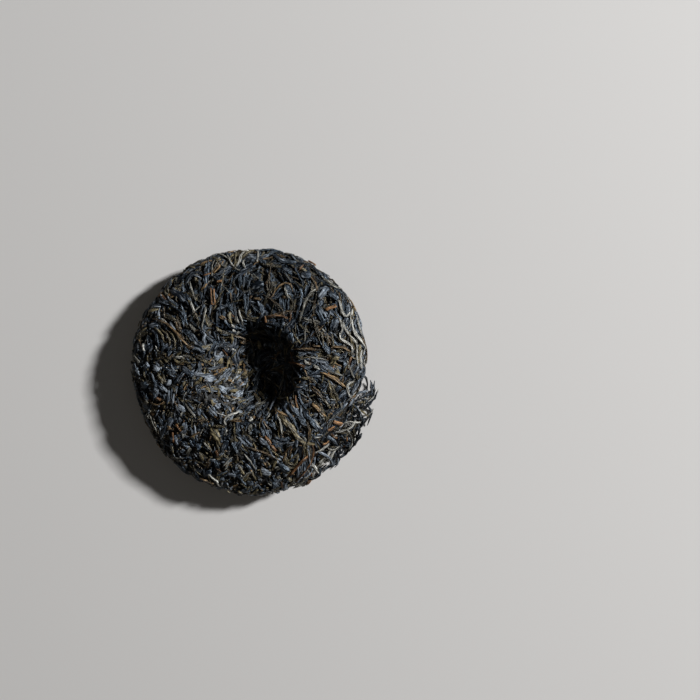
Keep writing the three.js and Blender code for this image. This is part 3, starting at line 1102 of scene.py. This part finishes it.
# %% Silver buds and pale strands of the photograph
TOP_BUDS = [
    seen(2.2, 1.0, (249, 251), (242, 255), (239, 262), (236, 268)),
    seen(1.8, 0.7, (236, 268), (231, 263), (228, 256)),
    seen(2.0, 0.8, (243, 261), (245, 269)),
    seen(1.8, 0.9, (257, 263), (258, 257), (258, 251)),
    seen(2.2, 0.5, (221, 263), (224, 266), (228, 264)),
    seen(1.8, 0.4, (211, 257), (219, 255), (228, 259)),
]
RIM_STRANDS = [
    seen(3.2, 0.9, (351, 309), (351, 324), (355, 334), (363, 344), (361, 356)),
    seen(2.6, 0.7, (338, 300), (341, 309), (345, 317), (350, 313)),
    seen(2.4, 0.9, (361, 350), (360, 359), (361, 369)),
    seen(2.6, 0.9, (339, 333), (342, 341), (350, 345), (351, 356)),
    seen(2.2, 1.0, (353, 381), (347, 385), (347, 391), (350, 398)),
    seen(2.4, 0.7, (343, 320), (345, 330), (352, 338), (357, 349)),
    seen(2.2, 0.6, (356, 316), (358, 327), (363, 338)),
    seen(2.0, 0.8, (338, 318), (342, 326), (340, 335)),
    seen(2.2, 0.5, (347, 360), (350, 370), (354, 378)),
    seen(1.8, 0.8, (356, 344), (356, 355), (358, 366)),
    seen(2.2, 0.5, (317, 289), (305, 302), (302, 312), (299, 322)),
    seen(3.2, 0.2, (321, 277), (330, 284), (341, 291)),
]
HOLLOW_EDGE_BUDS = [
    seen(1.6, 1.0, (239, 310), (241, 318), (243, 325)),
    seen(2.2, 0.9, (239, 412), (232, 415), (225, 418), (226, 425)),
    seen(1.6, 0.7, (230, 402), (236, 399), (241, 401)),
    seen(2.0, 0.7, (276, 414), (281, 425), (282, 434)),
    seen(2.6, 0.7, (313, 365), (320, 369)),
    seen(2.4, 0.8, (304, 360), (309, 365)),
    seen(3.2, 1.0, (250, 422), (252, 418)),
    seen(2.2, 0.6, (285, 287), (286, 293), (289, 298)),
    seen(2.4, 1.0, (231, 324), (234, 327)),
    seen(2.2, 1.0, (232, 329), (235, 331)),
    seen(2.0, 0.6, (235, 334), (240, 331)),
]
OUTER_BUDS = [
    seen(2.2, 0.9, (208, 474), (214, 478), (220, 486)),
    seen(2.0, 0.6, (242, 478), (247, 474), (253, 471)),
    seen(1.8, 0.4, (223, 467), (228, 460), (233, 457)),
    seen(2.6, 0.8, (191, 302), (194, 313)),
    seen(1.8, 0.3, (190, 282), (192, 290), (195, 299)),
    seen(2.8, 0.9, (143, 344), (145, 351)),
    seen(2.2, 0.8, (175, 357), (184, 358)),
    seen(1.8, 0.5, (149, 413), (153, 422), (158, 433)),
    seen(1.8, 0.5, (185, 403), (191, 411), (196, 418)),
    seen(1.6, 0.6, (206, 307), (204, 318), (202, 331)),
    seen(2.2, 0.6, (163, 450), (167, 456)),
    seen(1.8, 0.5, (294, 485), (304, 480)),
    seen(2.0, 0.5, (330, 418), (337, 414), (341, 408), (340, 403)),
    seen(2.0, 0.4, (190, 324), (195, 332)),
]

# %% Brown, olive and blue leaves of the photograph
BROWN_STRANDS = [
    seen(2.8, 0.9, (320, 373), (330, 376), (338, 382), (346, 388)),
    seen(2.0, 0.8, (153, 319), (165, 323), (176, 332), (188, 346)),
    seen(1.8, 0.8, (268, 300), (274, 293), (279, 286), (286, 283), (293, 292)),
    seen(2.2, 0.6, (294, 349), (306, 349), (320, 350)),
    seen(2.2, 0.7, (330, 348), (340, 347), (350, 352)),
    seen(2.8, 1.0, (312, 403), (318, 409), (325, 416)),
    seen(1.8, 0.6, (310, 276), (315, 284), (317, 291)),
    seen(1.8, 0.9, (200, 266), (206, 263), (212, 261)),
    seen(1.8, 0.8, (200, 478), (207, 480), (214, 483)),
    seen(1.8, 0.4, (245, 447), (258, 450), (270, 455), (279, 460)),
    seen(1.8, 0.6, (151, 402), (157, 405), (165, 402)),
    seen(2.2, 0.8, (254, 299), (262, 299)),
    seen(2.2, 0.9, (346, 298), (352, 304), (358, 310)),
    seen(1.6, 0.5, (361, 337), (365, 348), (366, 364)),
    seen(3.0, 0.6, (219, 317), (227, 320)),
    seen(2.8, 0.5, (240, 341), (247, 343)),
]
LEFT_ARCS = [
    seen(
        1.7,
        0.9 - 0.15 * i,
        (155 + 6 * i, 328 + i),
        (162 + 6 * i, 334 + 2 * i),
        (164 + 6 * i, 345 + 2 * i),
    )
    for i in range(4)
]
OLIVE_LEAVES = [
    seen(4.6, 0.8, (275, 406), (283, 418), (293, 430), (303, 442), (314, 444)),
    seen(2.4, 1.0, (301, 378), (310, 378)),
    seen(3.6, 0.9, (229, 312), (231, 323)),
    seen(2.4, 1.0, (231, 333), (232, 343)),
    seen(2.4, 0.8, (216, 327), (222, 333)),
    seen(3.4, 1.0, (258, 340), (261, 349)),
    *(seen(1.8, 0.6, (322 + 5 * i, 332 + i), (323 + 5 * i, 346 + i)) for i in range(3)),
    *LEFT_ARCS,
]
BLUE_LEAVES = [
    seen(4.6, 0.5, (303, 411), (312, 421), (321, 433)),
    seen(2.8, 0.2, (281, 404), (290, 416), (298, 429)),
    seen(2.8, 0.4, (288, 403), (300, 417)),
    seen(2.4, 0.5, (296, 284), (302, 294), (299, 307), (296, 318)),
    seen(2.4, 0.4, (153, 330), (158, 339), (158, 350)),
    seen(2.4, 0.5, (160, 340), (164, 346), (161, 354)),
    seen(2.4, 0.4, (244, 294), (245, 305), (247, 318)),
    seen(2.4, 0.3, (150, 372), (155, 382), (153, 394)),
]

# %% Stems and flat leaves of the photograph
STEMS = [
    seen(3.0, 0.8, (265, 436), (270, 443), (276, 451)),
    seen(2.4, 0.5, (307, 456), (299, 464), (290, 475)),
    seen(2.6, 1.0, (325, 310), (336, 306)),
    seen(1.8, 0.2, (267, 317), (278, 316), (288, 318)),
    seen(2.0, 0.8, (266, 322), (265, 316)),
    seen(2.2, 0.6, (290, 362), (298, 364), (305, 367)),
    seen(1.5, 0.7, (211, 288), (212, 305)),
    seen(1.5, 0.9, (214, 289), (215, 305)),
    seen(2.6, 0.7, (157, 398), (161, 400)),
    seen(2.0, 1.0, (217, 282), (222, 281)),
    seen(2.0, 0.4, (351, 357), (347, 369)),
    seen(3.4, 1.0, (333, 421), (341, 424)),
    seen(3.0, 0.8, (327, 430), (334, 427)),
    seen(2.4, 0.9, (322, 444), (329, 441)),
    seen(2.0, 0.8, (307, 263), (314, 268)),
    seen(2.2, 0.4, (163, 296), (166, 300)),
    seen(1.6, 0.7, (173, 432), (174, 442)),
    seen(1.6, 0.6, (176, 424), (181, 431)),
    seen(1.6, 0.2, (312, 443), (313, 455), (309, 465), (303, 473), (296, 481)),
    seen(2.0, 0.5, (216, 450), (218, 456)),
]
FLAT_LEAVES = [
    seen(6.0, 0.15, (172, 290), (178, 294), (185, 301)),
    seen(5.6, 0.9, (319, 299), (326, 289)),
    seen(5.6, 0.45, (328, 292), (338, 300)),
    seen(6.0, 0.5, (300, 275), (311, 277)),
    seen(6.0, 0.2, (278, 463), (290, 471)),
    seen(4.4, 0.3, (222, 452), (228, 440)),
    seen(3.8, 0.2, (232, 442), (237, 453)),
    seen(3.6, 0.1, (273, 255), (284, 262), (296, 262)),
    seen(3.8, 0.5, (258, 258), (266, 264)),
]
GREENISH_FLAKES = [seen(7.0, 0.85, (210, 429), (215, 434), (219, 441))]

# %% Lay the leaves, the darkest ones deepest
lay_leaves(
    "charcoal_leaves", charcoal, seed=31, patterns=rolled_patterns, places=900, bundle=(1, 2),
    length=span(8, 26), width=span(1.8, 3.6), thickness=span(1.4, 2.4), top=span(-2.0, 0.8),
    stray=0.5,
)
lay_leaves(
    "slate_leaves", slate, seed=32, patterns=rolled_patterns, places=620, bundle=(1, 3),
    length=span(7, 32), width=span(1.5, 3.2), thickness=span(1.3, 2.2), top=span(-0.9, 1.4),
    stray=0.4, notable=BLUE_LEAVES,
)
lay_leaves(
    "olive_leaves", olive, seed=33, patterns=rolled_patterns, places=460, bundle=(1, 2),
    length=span(7, 30), width=span(1.4, 3.0), thickness=span(1.2, 2.0), top=span(-1.2, 1.4),
    stray=0.5, notable=OLIVE_LEAVES,
)
lay_leaves(
    "brown_leaves", brown, seed=34, patterns=rolled_patterns, places=420, bundle=(1, 2),
    length=span(5, 26), width=span(1.0, 2.3), thickness=span(0.9, 1.6), top=span(-1.2, 1.3),
    stray=0.6, notable=BROWN_STRANDS,
)
lay_leaves(
    "flat_leaves", slate, seed=37, patterns=flat_patterns, places=320, right=0.9,
    length=span(8, 20), width=span(3.0, 6.0), thickness=span(0.9, 1.6), top=span(-0.2, 1.3),
    stray=0.6, curl=12, notable=FLAT_LEAVES,
)
lay_leaves(
    "olive_flakes", olive, seed=38, patterns=flat_patterns, places=150, right=0.8,
    length=span(7, 16), width=span(2.6, 4.8), thickness=span(0.9, 1.4), top=span(-0.3, 1.2),
    stray=0.6, curl=12, notable=GREENISH_FLAKES,
)
lay_leaves(
    "silver_buds", silver, seed=35, patterns=rolled_patterns, places=210, bundle=(1, 2),
    length=span(5, 24), width=span(0.9, 2.1), thickness=span(0.9, 1.5), top=span(-0.2, 1.5),
    stray=0.7, tone=(0, 0.9), notable=[*TOP_BUDS, *RIM_STRANDS, *HOLLOW_EDGE_BUDS, *OUTER_BUDS],
)
lay_leaves(
    "stems", stem, seed=36, patterns=stem_patterns, places=46,
    length=span(4, 13), width=span(0.9, 1.9), thickness=span(0.8, 1.4), top=span(-0.4, 1.3),
    stray=0.9, curl=8, sway=10, notable=STEMS,
)

# %% Broken bits between the leaves, and fine strands on them
BIT = {"patterns": crumb_patterns, "stray": 1.5}
FINE_STRAND = {
    "patterns": stem_patterns,
    "bundle": (1, 2),
    "length": span(4, 18),
    "width": span(0.5, 1.0),
    "thickness": span(0.5, 0.9),
    "top": span(0.2, 1.6),
    "stray": 0.8,
    "curl": 35,
}

lay_leaves(
    "slate_bits", slate, seed=43, places=1100, right=0.1, **BIT,
    length=span(3, 8), width=span(1.2, 2.6), thickness=span(0.5, 0.9), top=span(-0.5, 0.8),
)
lay_leaves(
    "olive_bits", olive, seed=44, places=1300, right=0.15, **BIT,
    length=span(2, 7), width=span(1.0, 2.4), thickness=span(0.5, 0.9), top=span(-0.4, 0.9),
)
lay_leaves("fine_slate_strands", slate, seed=39, places=210, tone=(0.5, 1), **FINE_STRAND)
lay_leaves("fine_olive_strands", olive, seed=40, places=230, tone=(0.4, 1), **FINE_STRAND)
lay_leaves(
    "dark_bits", charcoal, seed=41, places=2400, right=0.35, **BIT,
    length=span(2, 6), width=span(0.8, 1.8), thickness=span(0.7, 1.3), top=span(-1.7, 0.8),
)
lay_leaves(
    "brown_bits", brown, seed=42, places=1500, right=0.3, **BIT,
    length=span(1.5, 5), width=span(0.6, 1.5), thickness=span(0.6, 1.1), top=span(-1.5, 0.9),
)

# %% [markdown]
# ## Loosened leaves in the bite
#
# Where the cake was pried at with a knife, leaves have come loose. They still root in the broken face,
# and curl over and under each other down to the table. They are walked in plan, outwards from the
# face, and float a little over its slope, so that the gaps under them stay dark.

# %% Loosen leaves
LOOSE_ANGLES = (math.radians(-64), math.radians(-14))
LOOSE_HEAP = 13 * MM
LOOSE_ROOT = 6 * MM
LOOSE_FOOT = 1.08 * CAKE_RADIUS
LOOSE_GROUND = 1 * MM
LOOSE_RIPPLE = 2.8 * MM
LOOSE_LEVELS = (0.55, 1.3)
LOOSE_STRAY = 1.1
LOOSE_BEND = 45
LOOSE_WAVE = 70
LOOSE_LENGTH_SHAPE = (1.5, 1.8)
LOOSE_THICKNESS = (0.4, 0.8)
LOOSE_TILT = 0.25
HANGING_THICKNESS = 0.6
TURN_BACK_ZONE = (0.93, 1.07)
TURN_BACK = 130


def heap_height(x, y):
    """How high loose leaves lie there: the broken face's height at the face, nothing at the foot."""
    face = CAKE_RADIUS - BITE_DEPTH * bite_share(np.arctan2(y, x)) - LOOSE_ROOT
    return LOOSE_HEAP * (1 - smooth(np.hypot(x, y), face, LOOSE_FOOT))


def loose_stations(draw, count, length):
    """Leaves walked outwards from the broken face, turning back before they stray too far."""
    angle = draw.uniform(*LOOSE_ANGLES, count)
    face = CAKE_RADIUS - BITE_DEPTH * bite_share(angle)
    radius = mix(face, CAKE_RADIUS, draw.uniform(0, 1, count))
    x, y = radius * np.cos(angle), radius * np.sin(angle)
    way = angle + draw.normal(0, LOOSE_STRAY, count)
    bend = draw.normal(0, LOOSE_BEND, count)
    wave = draw.uniform(0, 2 * math.pi, count)
    level = draw.uniform(*LOOSE_LEVELS, count)
    stride = mix(*length, draw.beta(*LOOSE_LENGTH_SHAPE, count)) / (STATIONS - 1)
    points = []
    for station in range(STATIONS):
        z = heap_height(x, y) * level + LOOSE_RIPPLE * np.sin(wave + station)
        points.append(np.stack([x, y, np.maximum(z, LOOSE_GROUND)], axis=-1))
        x, y = x + np.cos(way) * stride, y + np.sin(way) * stride
        outwards = np.arctan2(y, x)
        beyond = smooth(np.hypot(x, y) / CAKE_RADIUS, *TURN_BACK_ZONE) * (np.cos(way - outwards) > 0)
        side = np.where(np.sin(way - outwards) >= 0, 1, -1)
        curling = (bend + LOOSE_WAVE * np.sin(wave + station)) * (1 - beyond)
        way = way + (curling + TURN_BACK * side * beyond) * stride
    return np.stack(points, axis=1)


def hanging_leaf(stations):
    """A loose leaf of the photograph, from the pixels that it passes and its heights there in mm."""
    given = np.array(stations, dtype=float)
    pixels = given[:, :2]
    run = run_along(pixels)
    height = np.interp(np.linspace(0, run[-1], STATIONS), run, given[:, 2] * MM)
    x, y = spot_under(through(pixels), height)
    return np.stack([x, y, height], axis=-1)


def loosen(name, material, seed, count, length, width, patterns=rolled_patterns, tone=(0, 1), hanging=()):
    """One piece of loosened leaves: those walked by chance, then those of the photograph."""
    draw = np.random.default_rng(seed)
    points = loose_stations(draw, count, length)
    widths = mix(*width, draw.uniform(0, 1, count))
    heights = widths * draw.uniform(*LOOSE_THICKNESS, count)
    tones = mix(*tone, draw.uniform(0, 1, count))
    if hanging:
        hanging_widths = np.array([leaf["width"] for leaf in hanging])
        points = np.concatenate([points, [hanging_leaf(leaf["pixels"]) for leaf in hanging]])
        widths = np.concatenate([widths, hanging_widths])
        heights = np.concatenate([heights, HANGING_THICKNESS * hanging_widths])
        tones = np.concatenate([tones, [leaf["tone"] for leaf in hanging]])
    tilt = draw.normal(0, LOOSE_TILT, (len(points), 1, 3))
    normals = unit(np.broadcast_to(np.array([0.0, 0.0, 1.0]), points.shape) + tilt)
    return leaves_piece(name, material, draw, patterns, points, normals, widths, heights, tones)


# %% Loose leaves of the photograph: each place is a pixel and its height in mm
HANGING_BLUE = [
    seen(2.6, 0.8, (346, 398, 16), (357, 394, 16), (368, 390, 12)),
    seen(3.2, 0.6, (322, 433, 19), (333, 440, 15), (341, 452, 9)),
    seen(2.6, 0.9, (318, 452, 17), (327, 456, 13), (334, 466, 8)),
    seen(2.8, 0.5, (347, 404, 15), (357, 409, 12), (361, 420, 6)),
]
HANGING_BROWN = [
    seen(2.2, 0.9, (347, 398, 18), (353, 405, 14), (361, 411, 9), (368, 416, 5)),
    seen(2.4, 0.7, (316, 444, 20), (321, 454, 14), (318, 466, 9)),
]
HANGING_PALE = [
    seen(2.2, 0.7, (336, 433, 15), (345, 430, 13), (353, 426, 11), (356, 420, 9)),
    seen(3.2, 0.9, (309, 459, 20), (313, 466, 16), (319, 473, 10)),
    seen(3.2, 1.0, (331, 449, 14), (326, 457, 12), (318, 463, 12)),
    seen(2.6, 0.9, (337, 446, 10), (332, 455, 9), (324, 463, 9)),
    seen(2.6, 0.8, (323, 462, 13), (317, 468, 11), (309, 472, 11)),
    seen(2.2, 1.0, (329, 443, 16), (322, 450, 16), (314, 453, 17)),
    seen(2.0, 0.6, (326, 447, 16), (334, 450, 13), (340, 446, 12)),
    seen(2.0, 0.5, (348, 432, 9), (352, 441, 7), (348, 450, 6)),
]

# %% Fill the bite with loose leaves
loosen(
    "loose_slate_leaves", slate, seed=51, count=20, length=span(12, 30), width=span(1.2, 2.4),
    hanging=HANGING_BLUE,
)
loosen(
    "loose_charcoal_leaves", charcoal, seed=52, count=38, length=span(12, 30), width=span(1.4, 2.8),
    tone=(0, 0.3),
)
loosen(
    "loose_olive_leaves", olive, seed=55, count=15, length=span(12, 28), width=span(1.1, 2.2),
    tone=(0.4, 1), hanging=HANGING_BROWN,
)
loosen(
    "loose_silver_leaves", silver, seed=53, count=9, length=span(10, 24), width=span(1.2, 2.4),
    tone=(0.3, 1), hanging=HANGING_PALE,
)
loosen(
    "loose_stems", stem, seed=54, count=5, length=span(8, 22), width=span(1.4, 2.4),
    patterns=stem_patterns,
)

# %% [markdown]
# ## The stage
#
# The table is plain and pale, and isn't part of the cake. One lamp stands low at the upper right of
# the picture, so that every leaf throws a small shadow to the left. A large, weak and warmer lamp at
# the lower left, and a weak sky, keep the shadows and the inside of the hollow from being quite black.

# %% Table, lamps and sky
KEY_LAMP = {"azimuth": 24, "elevation": 27, "distance": 4.5, "size": 0.5, "power": 362}
FILL_LAMP = {"azimuth": 230, "elevation": 40, "distance": 3.0, "size": 2.0, "power": 4}
KEY_COLOUR = (0.97, 0.985, 1.0)
FILL_COLOUR = (1.0, 0.86, 0.68)
SKY_COLOUR = (0.86, 0.93, 1.0, 1)
SKY_STRENGTH = 0.035
TABLE_REACH = 4
TABLE_COLOUR = (0.62, 0.6, 0.58, 1)
TABLE_ROUGHNESS = 0.9


def build_stage():
    shape = bmesh.new()
    bmesh.ops.create_grid(shape, x_segments=1, y_segments=1, size=TABLE_REACH)
    mesh = bpy.data.meshes.new("table")
    shape.to_mesh(mesh)
    shape.free()
    table = bpy.data.objects.new("table", mesh)
    bpy.context.scene.collection.objects.link(table)
    paint, _, shader = new_material("pale table")
    shader.inputs["Base Color"].default_value = TABLE_COLOUR
    shader.inputs["Roughness"].default_value = TABLE_ROUGHNESS
    mesh.materials.append(paint)


def build_lamp(name, azimuth, elevation, distance, size, power, colour):
    """A square lamp that shines on the cake from these two angles, in degrees, and this far away."""
    light = bpy.data.lights.new(name, "AREA")
    light.size = size
    light.energy = power
    light.color = colour
    lamp = bpy.data.objects.new(name, light)
    turn = math.radians(azimuth)
    rise = math.radians(elevation)
    level = math.cos(rise)
    away = Vector((level * math.cos(turn), level * math.sin(turn), math.sin(rise)))
    lamp.location = away * distance
    lamp.rotation_euler = away.to_track_quat("Z", "Y").to_euler()
    bpy.context.scene.collection.objects.link(lamp)


def build_sky():
    world = bpy.data.worlds.new("sky")
    world.use_nodes = True
    sky = world.node_tree.nodes["Background"]
    sky.inputs["Color"].default_value = SKY_COLOUR
    sky.inputs["Strength"].default_value = SKY_STRENGTH
    bpy.context.scene.world = world
    bpy.context.scene.view_settings.view_transform = "Standard"


build_stage()
build_lamp("key", colour=KEY_COLOUR, **KEY_LAMP)
build_lamp("fill", colour=FILL_COLOUR, **FILL_LAMP)
build_sky()

# %% Update the scene
bpy.context.view_layer.update()
